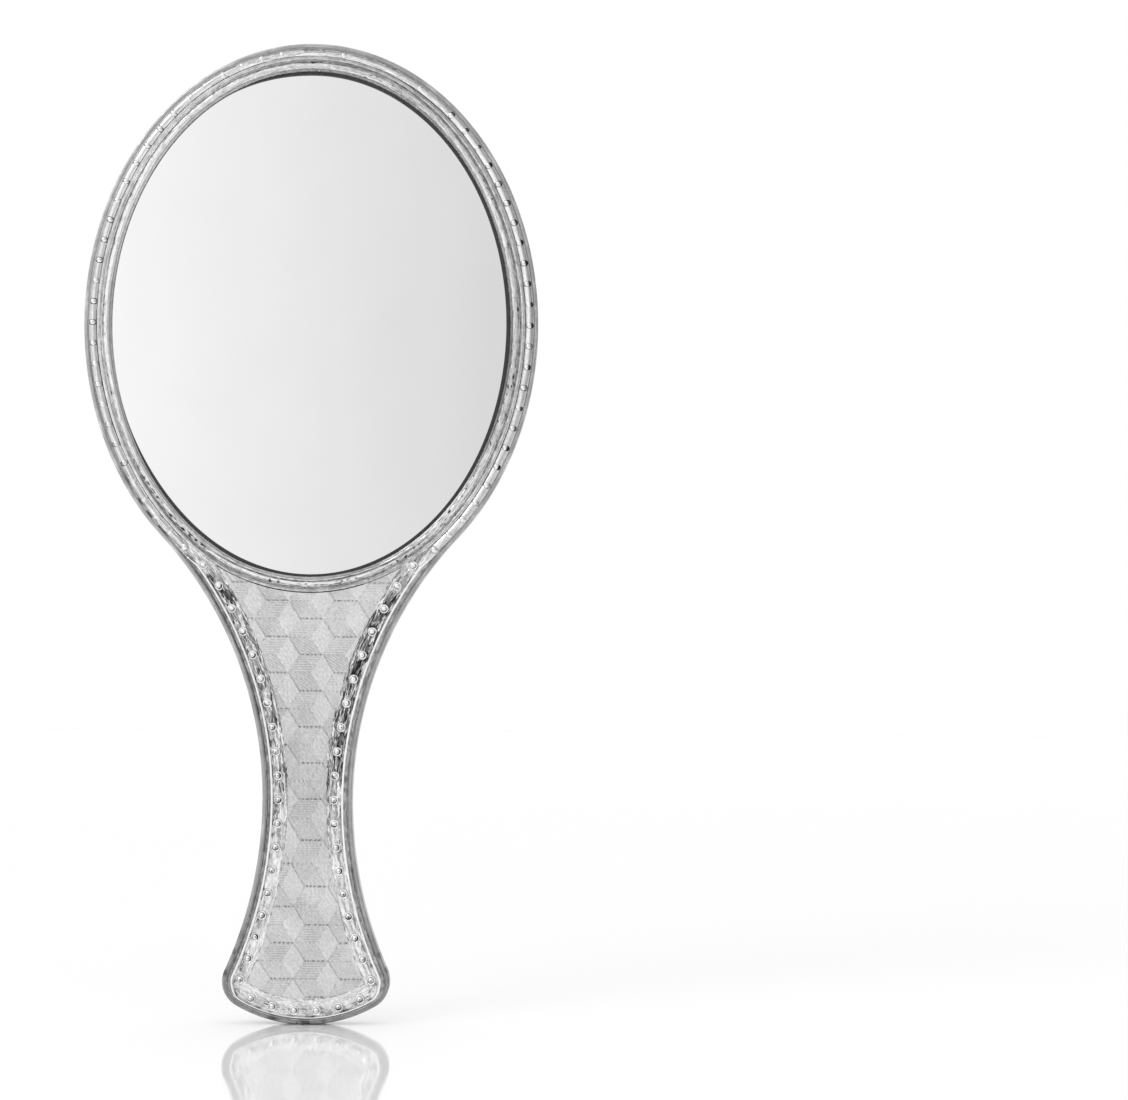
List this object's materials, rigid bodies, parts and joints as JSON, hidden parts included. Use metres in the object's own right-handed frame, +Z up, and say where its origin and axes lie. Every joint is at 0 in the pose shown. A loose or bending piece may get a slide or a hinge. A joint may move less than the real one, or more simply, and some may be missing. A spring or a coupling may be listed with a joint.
{
  "type": "hand mirror",
  "caption": "Oval hand mirror with a stepped, beaded, silver-plated rim and a waisted handle that carries a patterned panel inside a studded border.",
  "frame": {"origin": "middle of the handle's waist, where a hand holds the mirror, on the plane where the front and back halves meet", "axes": "+Z up along the handle towards the head, -Y the way the glass faces, +X to the right of someone who looks into the glass"},
  "size_m": [0.1296, 0.0108, 0.28],
  "materials": {
    "silver_plate": "gloss",
    "bright_plate": "polished",
    "satin_plate": "satin",
    "silvered_glass": "polished",
    "dark_rubber": "matte",
    "grey_card": "matte",
    "clear_tape": "satin",
    "zinc_steel": "satin"
  },
  "bodies": {
    "root": {"front_frame": "silver_plate", "edge_trim": "silver_plate", "back_shell": "silver_plate", "rim_bead_strip": "bright_plate", "handle_stud_strip": "bright_plate", "handle_inlay": "satin_plate", "mirror_glass": "silvered_glass", "glass_gasket": "dark_rubber", "backing_card": "grey_card", "inlay_tape": "clear_tape", "handle_screw_upper": "zinc_steel", "handle_screw_middle": "zinc_steel", "handle_screw_lower": "zinc_steel"}
  },
  "joints": []
}
